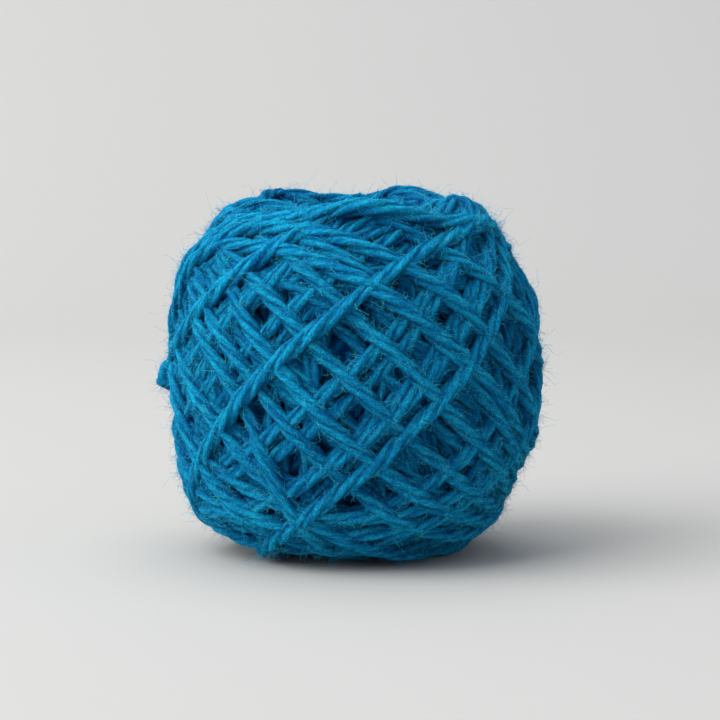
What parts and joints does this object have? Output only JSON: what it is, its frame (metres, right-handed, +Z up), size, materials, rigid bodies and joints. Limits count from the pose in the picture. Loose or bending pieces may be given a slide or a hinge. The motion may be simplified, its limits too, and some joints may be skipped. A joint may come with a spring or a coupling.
{
  "type": "ball of yarn",
  "caption": "Ball of thick plied wool yarn, wound on the slant into a squarish round form with a dimpled top, a flat spot to rest on and one loose end at its side.",
  "frame": {"origin": "on the surface that the ball rests on, under the middle of the ball", "axes": "+Z up along the axis that the yarn turns round, -Y towards the front, the loose end on the -X side"},
  "size_m": [0.0828, 0.0796, 0.0776],
  "materials": {
    "wool": "matt plied wool, teal blue, with a soft halo of loose fibres"
  },
  "bodies": {
    "root": {"yarn_ball": "wool", "loose_end": "wool"}
  },
  "joints": []
}
